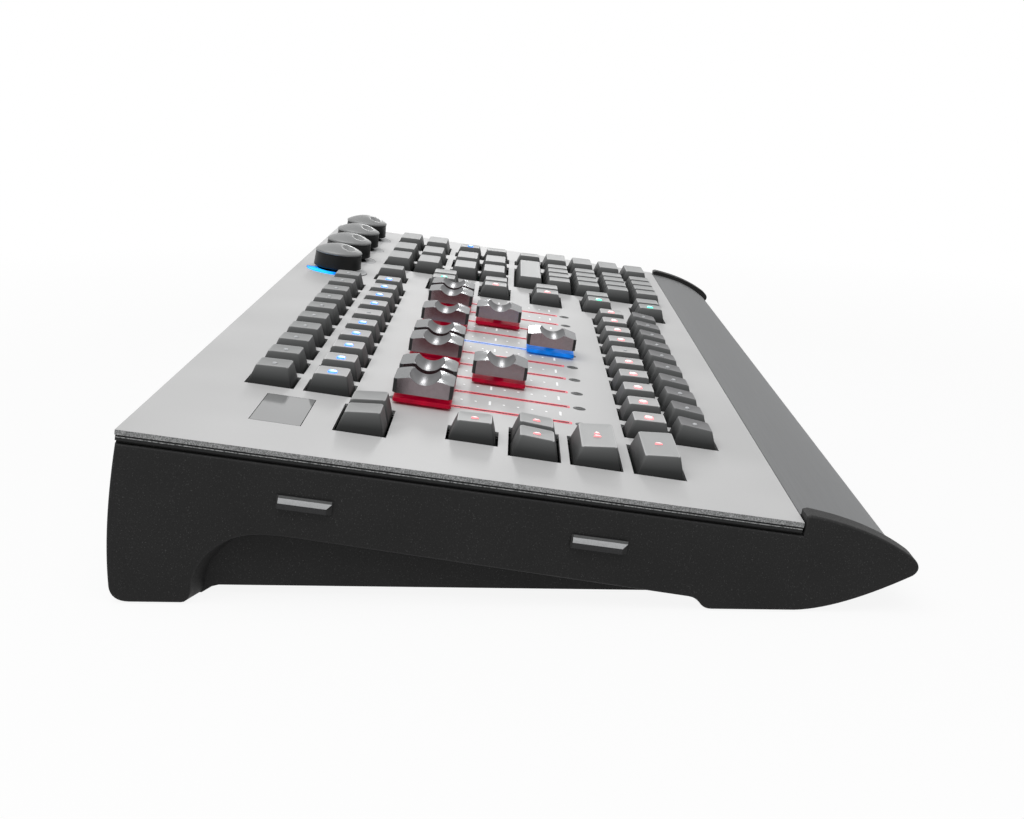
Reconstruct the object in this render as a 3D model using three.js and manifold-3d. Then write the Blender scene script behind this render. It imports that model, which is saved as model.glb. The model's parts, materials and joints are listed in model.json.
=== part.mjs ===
// Desktop lighting control desk: sloping metal face plate between two moulded end cheeks, with a
// wrist rest, ten faders, four encoder knobs and banks of pressable keys.
// Millimetres, +Z up, +X along the desk from its left end, front edge towards -Y, resting on z = 0.
// Positions on the face are given as (x, s, n): x from the left edge, s from the back edge towards
// the front, n above the face.
import * as THREE from "three";
import { mergeVertices } from "three/addons/utils/BufferGeometryUtils.js";
import Module from "manifold-3d";

const wasm = await Module();
wasm.setup();

// ---- driving dimensions -------------------------------------------------------------------
const WIDTH = 568;                 // face plate, left edge to right edge
const FACE_DEPTH = 239;            // face plate, back edge to front edge along the slope
const SLOPE = THREE.MathUtils.degToRad(7.2);
const SPLAY = 0.028;               // how far each end leans outwards per mm towards the back
const BACK_Y = 137;                // back edge of the face
const BACK_Z = 63.3;
const GAP = 0.3;                   // air between touching pieces

const PLATE_T = 1.8;
const FRAME_TOP = -2.1;
const FRAME_T = 1.7;
const CHEEK_TOP = -4.2;            // n of the cheek's ledge under the frame
const CHEEK_T = 9.3;
const WEB_T = 2.7;                 // cheek's inner web, which closes the arch from inside
const SOLE_Z = 0.4;                // underside of the cheeks' feet, above the pads' own
const BELLY_Z = 3.9;               // underside of the body between the feet

const UNIT = 19.05;                // key pitch
const KEY_GAP = 0.95;              // air between two caps one unit apart
const CLEAR = 0.95;                // air between a cap and its opening
const KEY_BASE = -1.0;
const KEY_TOP = 7.5;
const KEY_INSET_X = 2.4;
const KEY_INSET_S = 2.5;
const STEM = 6;
const STEM_END = -9.2;

const COLUMN_X = 88.7;             // first fader column
const COLUMN_PITCH = 26.4;
const COLUMNS = 10;
const ROW_A = 36.6;
const ROW_B = 60.3;
const ROW_C = 191.1;
const ROW_D = 210.15;

const FADER_REST = [98, 98, 128.4, 98, 98, 153.2, 98, 125.6, 98, 98];   // s of each cap as set
const SLOT_S = [92.4, 159];
const SLOT_W = 1.8;
const CAP_LEN = 24.4;
const CAP_W = 20.4;

const KNOB_X = 372.5;
const KNOB_PITCH = 51;
const KNOB_S = 24.5;
const KNOB_R = 14.4;
const RING_R = 18.3;
const RING_TOP = 0.5;
const RING_SIDES = 36;
const SHAFT_R = 3;

const LEFT_X = 49.05;              // centre of the left key column
const PAIR_X = 373.5;              // centre of the two-key function column
const PAIR_S = [90.5, 122.3, 154.1, 185.9, 217.6];
const PAD_X = 409;                 // near edge of the keypad's first cap
const PAD_THIRD_X = 503;           // near edge of the keypad's last column
const INSERT = { x0: 28.9, x1: 67.2, s0: 38.6, s1: 57.3 };

// ---- materials ----------------------------------------------------------------------------
function paint(color, roughness, metalness) {
  return new THREE.MeshStandardMaterial({ color, roughness, metalness });
}
const FACE_METAL = [0xb9bbbc, 0.42, 0.55];
const REST_METAL = [0x9c9e9f, 0.38, 0.55];
const BODY_BLACK = [0x1c1d1e, 0.72, 0.0];
const SHEET_BLACK = [0x111213, 0.55, 0.3];
const KEY_GREY = [0x55575a, 0.5, 0.0];
const KNOB_BLACK = [0x161718, 0.45, 0.0];
const CAP_METAL = [0x5d5c5d, 0.3, 0.8];
const BAR_GREY = [0x46484a, 0.4, 0.2];
const GUIDE_WHITE = [0xd9dcde, 0.4, 0.0];
const BOARD_GREEN = [0x1f4a38, 0.6, 0.0];
const MECH_GREY = [0x6c7074, 0.5, 0.5];
const PAD_RUBBER = [0x151515, 0.9, 0.0];

// ---- solids and booleans ------------------------------------------------------------------
function bareCopy(geometry) {
  const bare = geometry.clone();
  bare.deleteAttribute("normal");
  bare.deleteAttribute("uv");
  return bare;
}

function solid(geometry) {
  const merged = mergeVertices(bareCopy(geometry), 1e-5);
  return new wasm.Manifold(new wasm.Mesh({
    numProp: 3,
    vertProperties: new Float32Array(merged.attributes.position.array),
    triVerts: new Uint32Array(merged.index.array),
  }));
}

function geometryOf(manifold) {
  const mesh = manifold.getMesh();
  const geometry = new THREE.BufferGeometry();
  geometry.setAttribute("position", new THREE.BufferAttribute(new Float32Array(mesh.vertProperties), 3));
  geometry.setIndex(new THREE.BufferAttribute(new Uint32Array(mesh.triVerts), 1));
  geometry.computeVertexNormals();
  return geometry;
}

function cut(first, ...rest) {
  return geometryOf(rest.reduce((sum, g) => sum.subtract(solid(g)), solid(first)));
}

// ---- shapes -------------------------------------------------------------------------------
// A block on the face, by its limits in x, s and n.
function block(x0, x1, s0, s1, n0, n1) {
  const geometry = new THREE.BoxGeometry(x1 - x0, s1 - s0, n1 - n0);
  geometry.translate((x0 + x1) / 2, -(s0 + s1) / 2, (n0 + n1) / 2);
  return geometry;
}

// An upright cylinder on the face.
function post(x, s, radius, n0, n1, sides = 20) {
  const geometry = new THREE.CylinderGeometry(radius, radius, n1 - n0, sides);
  geometry.rotateX(Math.PI / 2);
  geometry.translate(x, -s, (n0 + n1) / 2);
  return geometry;
}

function polygon(points) {
  return new THREE.Shape(points.map(([a, b]) => new THREE.Vector2(a, b)));
}

// How much further out an end of the desk lies at distance s from the back edge than at the front.
function splayAt(s) {
  return SPLAY * (FACE_DEPTH - s);
}

// A sheet over the whole face, its ends splayed, less the given cutters.
function sheet(inset, n0, n1, cutters) {
  const [s0, s1] = [inset, FACE_DEPTH - inset];
  const outline = [
    [inset - splayAt(s0), -s0], [inset - splayAt(s1), -s1],
    [WIDTH - inset + splayAt(s1), -s1], [WIDTH - inset + splayAt(s0), -s0],
  ];
  const geometry = new THREE.ExtrudeGeometry(polygon(outline), { depth: n1 - n0, bevelEnabled: false });
  geometry.translate(0, 0, n0);
  return cut(geometry, ...cutters);
}

// A profile in the side view, (d, z) with d from the back edge towards the front, run along x.
function sideExtrusion(shape, x0, x1, bevel = 0) {
  const geometry = new THREE.ExtrudeGeometry(shape, {
    curveSegments: 6,
    depth: x1 - x0 - 2 * bevel,
    bevelEnabled: bevel > 0,
    bevelThickness: bevel,
    bevelSize: bevel,
    bevelOffset: -bevel,
    bevelSegments: 1,
  });
  geometry.translate(0, 0, x0 + bevel);
  geometry.applyMatrix4(new THREE.Matrix4().set(
    0, 0, 1, -WIDTH / 2,
    -1, 0, 0, BACK_Y,
    0, 1, 0, 0,
    0, 0, 0, 1));
  return flipIfInside(geometry);
}

// Turns a closed surface right side out after a mirroring change of axes.
function flipIfInside(geometry) {
  const flat = mergeVertices(bareCopy(geometry), 1e-5);
  const p = flat.attributes.position;
  const index = flat.index.array;
  let volume = 0;
  const [a, b, c] = [new THREE.Vector3(), new THREE.Vector3(), new THREE.Vector3()];
  for (let i = 0; i < index.length; i += 3) {
    a.fromBufferAttribute(p, index[i]);
    b.fromBufferAttribute(p, index[i + 1]);
    c.fromBufferAttribute(p, index[i + 2]);
    volume += a.dot(b.clone().cross(c));
  }
  if (volume < 0) {
    for (let i = 0; i < index.length; i += 3) {
      [index[i], index[i + 1]] = [index[i + 1], index[i]];
    }
  }
  flat.computeVertexNormals();
  return flat;
}

// A six-sided solid between two rings of four corners.
function frustum(first, second) {
  const geometry = new THREE.BufferGeometry();
  const corners = new Float32Array([...first, ...second].flat());
  geometry.setAttribute("position", new THREE.BufferAttribute(corners, 3));
  geometry.setIndex([
    0, 1, 2, 0, 2, 3, 4, 6, 5, 4, 7, 6,
    0, 5, 1, 0, 4, 5, 1, 6, 2, 1, 5, 6,
    2, 7, 3, 2, 6, 7, 3, 4, 0, 3, 7, 4,
  ]);
  return flipIfInside(geometry);
}

// A band of even thickness to the inner side of an open side-view line.
function band(line, thickness) {
  const inner = line.map((point, i) => {
    const before = line[Math.max(i - 1, 0)];
    const after = line[Math.min(i + 1, line.length - 1)];
    const dx = after[0] - before[0];
    const dy = after[1] - before[1];
    const size = Math.hypot(dx, dy);
    return [point[0] + (dy / size) * thickness, point[1] - (dx / size) * thickness];
  });
  return [...line, ...inner.reverse()];
}

// Side-view point of a place on the face.
function onSide(s, n) {
  return [
    s * Math.cos(SLOPE) + n * Math.sin(SLOPE),
    BACK_Z - s * Math.sin(SLOPE) + n * Math.cos(SLOPE),
  ];
}

// Leans the two ends of a solid outwards towards the back.
function splayed(geometry) {
  const p = geometry.attributes.position;
  for (let i = 0; i < p.count; i += 1) {
    const x = p.getX(i);
    p.setX(i, x + Math.sign(x) * splayAt(BACK_Y - p.getY(i)));
  }
  geometry.computeVertexNormals();
  return geometry;
}

// Moves a solid drawn on the face to its place on the desk.
function placed(geometry) {
  geometry.translate(-WIDTH / 2, 0, 0);
  geometry.rotateX(SLOPE);
  geometry.translate(0, BACK_Y, BACK_Z);
  return geometry;
}

// ---- keys ---------------------------------------------------------------------------------
// A key is {x, s, u}: the centre of its cap and its width in key units.
function capWidth(u) {
  return u * UNIT - KEY_GAP;
}

const CAP_DEPTH = UNIT - KEY_GAP;

// Sculpted cap: four sloping sides up to a smaller top, over a square stem.
function keySolid(key, stemEnd) {
  const hw = capWidth(key.u) / 2;
  const hd = CAP_DEPTH / 2;
  const tw = hw - KEY_INSET_X;
  const td = hd - KEY_INSET_S;
  const corner = (x, s, n) => [key.x + x, -(key.s + s), n];
  const rise = key.tilt ?? 0;
  const ring = (w, d, back, front) => [
    corner(-w, -d, back), corner(w, -d, back), corner(w, d, front), corner(-w, d, front),
  ];
  const cap = frustum(ring(hw, hd, KEY_BASE, KEY_BASE), ring(tw, td, KEY_TOP - rise, KEY_TOP + rise));
  const half = STEM / 2;
  const stem = block(key.x - half, key.x + half, key.s - half, key.s + half, stemEnd, 2);
  return solid(cap).add(solid(stem));
}

function singleKey(key) {
  return geometryOf(keySolid(key, STEM_END));
}

// Keys in one line, tied together under the face by a thin carrier strip.
function keyRow(keys) {
  const first = keys[0];
  const last = keys[keys.length - 1];
  const strip = block(first.x - 5, last.x + 5, first.s - 3.5, first.s + 3.5, STEM_END, STEM_END + 1.2);
  return geometryOf(keys.reduce((sum, key) => sum.add(keySolid(key, STEM_END + 0.4)), solid(strip)));
}

function columnRow(s, tilt) {
  return Array.from({ length: COLUMNS }, (_, i) => ({ x: COLUMN_X + i * COLUMN_PITCH, s, u: 1, tilt }));
}

function padKey(x0, s, u) {
  return { x: x0 + capWidth(u) / 2, s, u };
}

const BLOCK_END = PAD_X + 4 * UNIT - KEY_GAP;

// Two keys of 1.75 units that fill the four-unit block, and one in the last column.
function wideRow(s, lastUnits) {
  return [
    padKey(PAD_X, s, 1.75),
    padKey(BLOCK_END - capWidth(1.75), s, 1.75),
    padKey(PAD_THIRD_X, s, lastUnits),
  ];
}

function numberRow(s) {
  return [0, 1, 2, 3].map((i) => padKey(PAD_X + i * UNIT, s, 1)).concat(padKey(PAD_THIRD_X, s, 1.75));
}

const SINGLE_KEYS = {
  key_left_a1: { x: LEFT_X - UNIT / 2, s: 78.9, u: 1, tilt: 0.7 },
  key_left_a2: { x: LEFT_X + UNIT / 2, s: 78.9, u: 1, tilt: 0.7 },
  key_left_b: { x: LEFT_X, s: 120.2, u: 1, tilt: 0.3 },
  key_left_c1: { x: LEFT_X - UNIT / 2, s: 144, u: 1, tilt: -0.6 },
  key_left_c2: { x: LEFT_X + UNIT / 2, s: 144, u: 1, tilt: -0.6 },
  key_left_d: { x: LEFT_X, s: 167.3, u: 2, tilt: 0.8 },
  key_left_e: { x: LEFT_X, s: 191.1, u: 2, tilt: 0.6 },
  key_lone: { x: 370, s: 58.4, u: 1 },
};

const KEY_ROWS = {
  keys_row_a: columnRow(ROW_A, 0.3),
  keys_row_b: columnRow(ROW_B, 0.3),
  keys_row_c: columnRow(ROW_C, 0.3),
  keys_row_d: columnRow(ROW_D, -0.6),
  ...Object.fromEntries(PAIR_S.map((s, i) => [`keys_pair_${i + 1}`,
    [{ x: PAIR_X - UNIT / 2, s, u: 1 }, { x: PAIR_X + UNIT / 2, s, u: 1 }]])),
  keys_pad_1: wideRow(58.4, 1.75),
  keys_pad_2: wideRow(58.4 + UNIT, 1.75),
  keys_pad_3: wideRow(101.2, 1),
  keys_pad_4: wideRow(101.2 + UNIT, 1),
  keys_pad_5: [padKey(PAD_X, 144.1, 4), padKey(PAD_THIRD_X, 144.1, 1)],
  keys_pad_6: numberRow(144.1 + UNIT),
  keys_pad_7: numberRow(144.1 + 2 * UNIT),
  keys_pad_8: numberRow(144.1 + 3 * UNIT),
  keys_pad_9: numberRow(144.1 + 4 * UNIT),
};

// ---- openings in the face -----------------------------------------------------------------
// Rectangle round a run of keys that share one opening.
function openingOf(keys) {
  const x0 = Math.min(...keys.map((k) => k.x - capWidth(k.u) / 2)) - CLEAR;
  const x1 = Math.max(...keys.map((k) => k.x + capWidth(k.u) / 2)) + CLEAR;
  const s0 = Math.min(...keys.map((k) => k.s)) - CAP_DEPTH / 2 - CLEAR;
  const s1 = Math.max(...keys.map((k) => k.s)) + CAP_DEPTH / 2 + CLEAR;
  return [x0, x1, s0, s1];
}

// Keys at the same place across several rows.
function stack(names, pick) {
  return names.flatMap((name) => pick(KEY_ROWS[name]));
}

function plateOpenings() {
  const rows = KEY_ROWS;
  const single = SINGLE_KEYS;
  const upper = [...rows.keys_row_a, ...rows.keys_row_b].map((key) => openingOf([key]));
  const doubled = rows.keys_row_c.map((key, i) => openingOf([key, rows.keys_row_d[i]]));
  const column = [[single.key_left_a1, single.key_left_a2], [single.key_left_b],
    [single.key_left_c1, single.key_left_c2], [single.key_left_d], [single.key_left_e]].map(openingOf);
  const pairs = [1, 2, 3, 4, 5].map((i) => openingOf(rows[`keys_pair_${i}`]));
  const low = ["keys_pad_6", "keys_pad_7", "keys_pad_8", "keys_pad_9"];
  const pad = [
    openingOf([single.key_lone]),
    openingOf([rows.keys_pad_1[0], rows.keys_pad_2[0]]),
    openingOf([rows.keys_pad_1[1], rows.keys_pad_2[1]]),
    openingOf([rows.keys_pad_1[2], rows.keys_pad_2[2]]),
    openingOf([rows.keys_pad_3[0], rows.keys_pad_4[0]]),
    openingOf([rows.keys_pad_3[1], rows.keys_pad_4[1]]),
    openingOf([rows.keys_pad_3[2], rows.keys_pad_4[2]]),
    openingOf([rows.keys_pad_5[0], ...stack(low, (row) => row.slice(0, 4))]),
    openingOf([rows.keys_pad_5[1]]),
    openingOf(stack(low, (row) => row.slice(4))),
  ];
  return [...upper, ...doubled, ...column, ...pairs, ...pad];
}

// The frame under the face has one long opening for each line or block of keys.
function frameOpenings() {
  const rows = KEY_ROWS;
  const single = SINGLE_KEYS;
  const grown = (keys) => {
    const [x0, x1, s0, s1] = openingOf(keys);
    return [x0 - 0.3, x1 + 0.3, s0 - 0.3, s1 + 0.3];
  };
  return [
    grown(rows.keys_row_a),
    grown(rows.keys_row_b),
    grown([...rows.keys_row_c, ...rows.keys_row_d]),
    grown([single.key_left_a1, single.key_left_a2]),
    grown([single.key_left_b]),
    grown([single.key_left_c1, single.key_left_c2]),
    grown([single.key_left_d]),
    grown([single.key_left_e]),
    grown([single.key_lone]),
    ...[1, 2, 3, 4, 5].map((i) => grown(rows[`keys_pair_${i}`])),
    grown([...rows.keys_pad_1, ...rows.keys_pad_2]),
    grown([...rows.keys_pad_3, ...rows.keys_pad_4]),
    grown(["keys_pad_5", "keys_pad_6", "keys_pad_7", "keys_pad_8", "keys_pad_9"].flatMap((n) => rows[n])),
  ];
}

function knobPlaces() {
  return [0, 1, 2, 3].map((i) => KNOB_X + i * KNOB_PITCH);
}

function columnPlaces() {
  return Array.from({ length: COLUMNS }, (_, i) => COLUMN_X + i * COLUMN_PITCH);
}

// ---- sub-parts ----------------------------------------------------------------------------
// Cutters for what the face plate and the frame under it leave open.
function cutters(openings, slotHalf) {
  const blocks = openings.map((r) => block(...r, -6, 1));
  const slots = columnPlaces().map((x) => block(x - slotHalf, x + slotHalf, ...SLOT_S, -6, 1));
  const rings = knobPlaces().map((x) => post(x, KNOB_S, RING_R + GAP, -6, 1, RING_SIDES));
  return [...blocks, ...slots, ...rings];
}

function facePlate() {
  const insert = block(INSERT.x0 - GAP, INSERT.x1 + GAP, INSERT.s0 - GAP, INSERT.s1 + GAP, -6, 1);
  return sheet(0, -PLATE_T, 0, [...cutters(plateOpenings(), SLOT_W / 2), insert]);
}

function keyFrame() {
  return sheet(0.2, FRAME_TOP - FRAME_T, FRAME_TOP, cutters(frameOpenings(), 2));
}

// Outer face of a cheek, in the side view: rear foot, arch, front foot and nose.
function cheekShape() {
  const shape = new THREE.Shape();
  shape.moveTo(...onSide(0.2, CHEEK_TOP));
  shape.quadraticCurveTo(-6.3, 28, -5.5, 6);
  shape.quadraticCurveTo(-5.0, SOLE_Z, 1.6, SOLE_Z);
  shape.lineTo(19.5, SOLE_Z);
  shape.quadraticCurveTo(23.2, SOLE_Z, 23.4, 8);
  shape.bezierCurveTo(24.6, 16, 34, 26.3, 48, 26);
  shape.quadraticCurveTo(54, 25.8, 60, 24.9);
  shape.lineTo(198.5, 5.0);
  shape.quadraticCurveTo(200.8, 4.6, 202.6, 2);
  shape.quadraticCurveTo(204, SOLE_Z, 206.5, SOLE_Z);
  shape.lineTo(236, SOLE_Z);
  shape.quadraticCurveTo(252, 1, 277.2, 13.9);
  shape.quadraticCurveTo(281.2, 17, 276.4, 20.9);
  shape.quadraticCurveTo(262, 31.4, 239.6, 35.9);
  shape.lineTo(...onSide(FACE_DEPTH + 2 * GAP, 2.2));
  shape.lineTo(...onSide(FACE_DEPTH + 2 * GAP, CHEEK_TOP));
  return shape;
}

// Inner web of a cheek: it reaches down to the belly behind the arch.
function webShape() {
  const foot = SOLE_Z + 0.5;
  return polygon([
    onSide(0.8, CHEEK_TOP), [-3.0, 38], [-4.2, 22], [-4.2, 8], [-3.4, 3], [-0.5, foot],
    [24.9, foot], [28.5, 3.2], [31, BELLY_Z], [187.3, BELLY_Z], [196.4, 2.4], [202.5, foot],
    [236, foot], [247, BELLY_Z], [247, 12], [232, 20], onSide(233, CHEEK_TOP),
  ]);
}

function cheek(side) {
  const outer = side < 0 ? [0, CHEEK_T] : [WIDTH - CHEEK_T, WIDTH];
  const inner = side < 0 ? [CHEEK_T - 1, CHEEK_T + WEB_T] : [WIDTH - CHEEK_T - WEB_T, WIDTH - CHEEK_T + 1];
  const face = solid(sideExtrusion(cheekShape(), ...outer, 0.7));
  const web = solid(sideExtrusion(webShape(), ...inner));
  return splayed(cut(geometryOf(face.add(web)), footPad(side, "rear", GAP), footPad(side, "front", GAP)));
}

// Rubber pad let into a foot; grow makes the recess that it sits in.
function footPad(side, end, grow) {
  const x = side < 0 ? CHEEK_T / 2 : WIDTH - CHEEK_T / 2;
  const [d, length] = end === "rear" ? [10.5, 13] : [224, 26];
  const bottom = grow ? -1 : 0;
  const top = 1.6 + grow;
  const geometry = new THREE.BoxGeometry(5 + 2 * grow, length + 2 * grow, top - bottom);
  geometry.translate(x - WIDTH / 2, BACK_Y - d, (top + bottom) / 2);
  return geometry;
}

// Wrist rest: an open curved section from the face down to the belly.
function wristRest() {
  const skin = new THREE.Path();
  skin.moveTo(...onSide(FACE_DEPTH + GAP, 0));
  skin.quadraticCurveTo(262, 29.4, 275.8, 17);
  skin.quadraticCurveTo(278.3, 14.6, 274.4, 12.4);
  skin.quadraticCurveTo(262, 5.6, 249, 3);
  const line = skin.getPoints(7).map((point) => [point.x, point.y]);
  return splayed(sideExtrusion(polygon(band(line, -2.4)), CHEEK_T + GAP, WIDTH - CHEEK_T - GAP));
}

// Base pan: rear wall, floor and a short front lip, bent from one sheet.
function basePan() {
  const [back, front, t, top] = [1, 246, 1.5, 58.6];
  const profile = [
    [back, top], [back, BELLY_Z], [front, BELLY_Z], [front, 14],
    [front - t, 14], [front - t, BELLY_Z + t], [back + t, BELLY_Z + t], [back + t, top],
  ];
  const edge = CHEEK_T + WEB_T + GAP;
  return splayed(sideExtrusion(polygon(profile), edge, WIDTH - edge));
}

// Long bar on a cheek's outer face: wide sloping upper bevel and a flat lower face.
function sideBar(side, s0, s1) {
  const face = side < 0 ? -GAP : WIDTH + GAP;
  const out = side < 0 ? -1 : 1;
  const [n0, n1] = [-20.2, -15.2];
  const ring = (depth, trimEnd, low, high) => [
    [face + out * depth, -(s0 + trimEnd), low], [face + out * depth, -(s1 - trimEnd), low],
    [face + out * depth, -(s1 - trimEnd), high], [face + out * depth, -(s0 + trimEnd), high],
  ];
  return frustum(ring(0, 0, n0, n1), ring(1.8, 1.5, n0 + 0.4, n1 - 2.1));
}

function blankInsert() {
  return block(INSERT.x0, INSERT.x1, INSERT.s0, INSERT.s1, -PLATE_T, 0);
}

// Clear strip under the frame with a raised disc round each encoder shaft.
function ringLight() {
  const xs = knobPlaces();
  const strip = block(xs[0] - 20, xs[3] + 20, 10, 40, -5.4, -4.2);
  const discs = xs.map((x) => post(x, KNOB_S, RING_R, -4.8, RING_TOP, RING_SIDES));
  const bores = xs.map((x) => post(x, KNOB_S, SHAFT_R + 0.6, -8, 3));
  const whole = discs.reduce((sum, g) => sum.add(solid(g)), solid(strip));
  return geometryOf(bores.reduce((sum, g) => sum.subtract(solid(g)), whole));
}

function encoderRack() {
  const xs = knobPlaces();
  const strip = block(xs[0] - 14, xs[3] + 14, 14, 35, -14.4, -13);
  const towers = xs.map((x) => post(x, KNOB_S, 6.5, -13.6, -5.8));
  const bores = xs.map((x) => post(x, KNOB_S, SHAFT_R + 0.1, -12.4, -4));
  const whole = towers.reduce((sum, g) => sum.add(solid(g)), solid(strip));
  return geometryOf(bores.reduce((sum, g) => sum.subtract(solid(g)), whole));
}

// Ten slotted fader bodies on one carrier.
function faderRack() {
  const xs = columnPlaces();
  const strip = block(xs[0] - 8, xs[9] + 8, 96, 156, -14.4, -13.2);
  const bodies = xs.map((x) => block(x - 5.5, x + 5.5, 84, 168, -13.6, -4.4));
  const slots = xs.map((x) => block(x - 1.3, x + 1.3, 91, 160.4, -12, -4));
  const whole = bodies.reduce((sum, g) => sum.add(solid(g)), solid(strip));
  return geometryOf(slots.reduce((sum, g) => sum.subtract(solid(g)), whole));
}

function mainBoard() {
  return block(16, WIDTH - 16, 14, 229, -16.4, -14.8);
}

// Fader cap: nearly flat shoulders with an oval finger dish between them, open at both sides.
function faderCap(x, s) {
  const half = CAP_LEN / 2;
  const [low, shoulder, lip] = [4.7, 10.3, 11.6];
  const outline = polygon([
    [-half, low], [half, low], [half, shoulder], [6.3, lip], [-6.3, lip], [-half, shoulder],
  ]);
  const body = new THREE.ExtrudeGeometry(outline, {
    depth: CAP_W - 2.4,
    bevelEnabled: true,
    bevelThickness: 1.2,
    bevelSize: 1.0,
    bevelOffset: -1.0,
    bevelSegments: 1,
  });
  body.applyMatrix4(new THREE.Matrix4().set(
    0, 0, 1, x - CAP_W / 2 + 1.2,
    -1, 0, 0, -s,
    0, 1, 0, 0,
    0, 0, 0, 1));
  const dish = new THREE.SphereGeometry(8, 40, 28);
  dish.rotateZ(Math.PI / 2);
  dish.scale(2.7, 1, 1);
  dish.translate(x, -s, 16.3);
  const lever = block(x - 0.6, x + 0.6, s - 2.4, s + 2.4, -10.5, 6);
  const whole = solid(flipIfInside(body)).subtract(solid(flipIfInside(dish))).add(solid(lever));
  return geometryOf(whole);
}

// Encoder knob: tapering skirt, a domed top with a finger dimple, and its shaft.
function encoderKnob(x) {
  const profile = [
    [0, -11.8], [SHAFT_R, -11.8], [SHAFT_R, 2.2], [KNOB_R, 2.2], [KNOB_R - 0.5, 10.4],
    [KNOB_R - 0.1, 11.2], [KNOB_R - 0.3, 12.3], [12.5, 13.9], [9, 15.4], [5, 16.3], [0, 16.6],
  ].map(([r, n]) => new THREE.Vector2(r, n));
  const body = new THREE.LatheGeometry(profile, RING_SIDES);
  body.rotateX(Math.PI / 2);
  const dimple = new THREE.SphereGeometry(5, 14, 10);
  dimple.rotateX(Math.PI / 2);
  dimple.translate(-4.5, -6, 19.2);
  const whole = solid(flipIfInside(body)).subtract(solid(flipIfInside(dimple)));
  const geometry = geometryOf(whole);
  geometry.translate(x, -KNOB_S, 0);
  return geometry;
}

// ---- assembly -----------------------------------------------------------------------------
const group = new THREE.Group();

function add(name, geometry, colour) {
  const mesh = new THREE.Mesh(geometry, paint(...colour));
  mesh.name = name;
  group.add(mesh);
}

add("face_plate", placed(facePlate()), FACE_METAL);
add("key_frame", placed(keyFrame()), SHEET_BLACK);
add("blank_insert", placed(blankInsert()), FACE_METAL);
add("left_cheek", cheek(-1), BODY_BLACK);
add("right_cheek", cheek(1), BODY_BLACK);
add("wrist_rest", wristRest(), REST_METAL);
add("base_pan", basePan(), SHEET_BLACK);
add("main_board", placed(mainBoard()), BOARD_GREEN);
add("fader_rack", placed(faderRack()), MECH_GREY);
add("encoder_rack", placed(encoderRack()), MECH_GREY);
add("ring_light", placed(ringLight()), GUIDE_WHITE);

for (const [label, side] of [["left", -1], ["right", 1]]) {
  add(`side_bar_${label}_rear`, splayed(placed(sideBar(side, 56.6, 75.8))), BAR_GREY);
  add(`side_bar_${label}_front`, splayed(placed(sideBar(side, 159.2, 179.2))), BAR_GREY);
  add(`foot_pad_${label}_rear`, splayed(footPad(side, "rear", 0)), PAD_RUBBER);
  add(`foot_pad_${label}_front`, splayed(footPad(side, "front", 0)), PAD_RUBBER);
}

columnPlaces().forEach((x, i) => {
  const number = String(i + 1).padStart(2, "0");
  add(`fader_cap_${number}`, placed(faderCap(x, FADER_REST[i])), CAP_METAL);
});

knobPlaces().forEach((x, i) => {
  add(`encoder_knob_${i + 1}`, placed(encoderKnob(x)), KNOB_BLACK);
});

for (const [name, key] of Object.entries(SINGLE_KEYS)) {
  add(name, placed(singleKey(key)), KEY_GREY);
}

for (const [name, keys] of Object.entries(KEY_ROWS)) {
  add(name, placed(keyRow(keys)), KEY_GREY);
}

export default group;
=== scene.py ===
import json
import math

import bmesh
import bpy
from mathutils import Matrix, Vector


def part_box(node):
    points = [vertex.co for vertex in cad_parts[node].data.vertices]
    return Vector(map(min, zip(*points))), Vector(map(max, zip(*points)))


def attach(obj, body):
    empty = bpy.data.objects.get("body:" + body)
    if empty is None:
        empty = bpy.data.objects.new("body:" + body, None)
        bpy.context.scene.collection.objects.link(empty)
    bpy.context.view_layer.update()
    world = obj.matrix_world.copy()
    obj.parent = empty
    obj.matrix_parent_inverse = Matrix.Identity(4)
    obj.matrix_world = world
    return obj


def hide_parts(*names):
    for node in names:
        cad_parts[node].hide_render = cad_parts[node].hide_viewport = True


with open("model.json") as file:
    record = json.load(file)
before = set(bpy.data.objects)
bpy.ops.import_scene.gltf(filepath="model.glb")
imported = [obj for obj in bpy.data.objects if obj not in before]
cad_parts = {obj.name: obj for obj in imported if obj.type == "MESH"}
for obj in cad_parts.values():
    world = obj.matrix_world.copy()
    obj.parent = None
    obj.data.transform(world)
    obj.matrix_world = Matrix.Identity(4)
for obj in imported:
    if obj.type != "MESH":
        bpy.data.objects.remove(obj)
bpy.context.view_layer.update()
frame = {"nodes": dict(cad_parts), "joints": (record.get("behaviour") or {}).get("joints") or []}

# Lighting control desk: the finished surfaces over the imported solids. Shapes are drawn in
# millimetres and turned to metres as they become pieces.
MM = 0.001

# ---- driving dimensions, millimetres ----
# A height is n, from the face's upper side. s is a distance from its back edge down the slope.
FACE_WIDTH = 568  # at the front
FACE_DEPTH = 239
SPLAY = 0.028  # how much each end of the desk leans out per millimetre towards the back
PLATE_T = 1.8
FRAME_TOP = -2.1  # n of the sheet under the face
HIGHLIGHT_UNDER = 0.5  # how far its painted highlight line is under its upper edge
HIGHLIGHT_LINE = 0.17  # half that line's width
GAP = 0.3  # between pieces that are joined

UNIT = 19.05  # key pitch
KEY_GAP = 0.95  # between two caps
KEY_BASE = -1.0  # n of a cap's underside
KEY_TOP = 7.5  # n of a cap's top
KEY_INSET = Vector((2.4, 2.5))  # how far a cap's top is in from its base, across and along
# A cap's colour follows its stored rise as painted shading: painted shade on the walls, darkest at the
# base, a painted highlight on the rim, and a top painted as lit from above.
WALL_SHADE_RISE = 0.76  # a cap's stored rise at the head of its walls, for its colour
RIM_HIGHLIGHT_RISE = 0.85  # and at its rim

FADERS = 10
BLUE_FADER = 5  # the one that is lit blue
FADER_TRAVEL = 60
SLOT_HALF = 0.9  # half a slot's width
SLOT_OVER = 3.9  # how far its lit rim runs on past the travel, at each end

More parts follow.
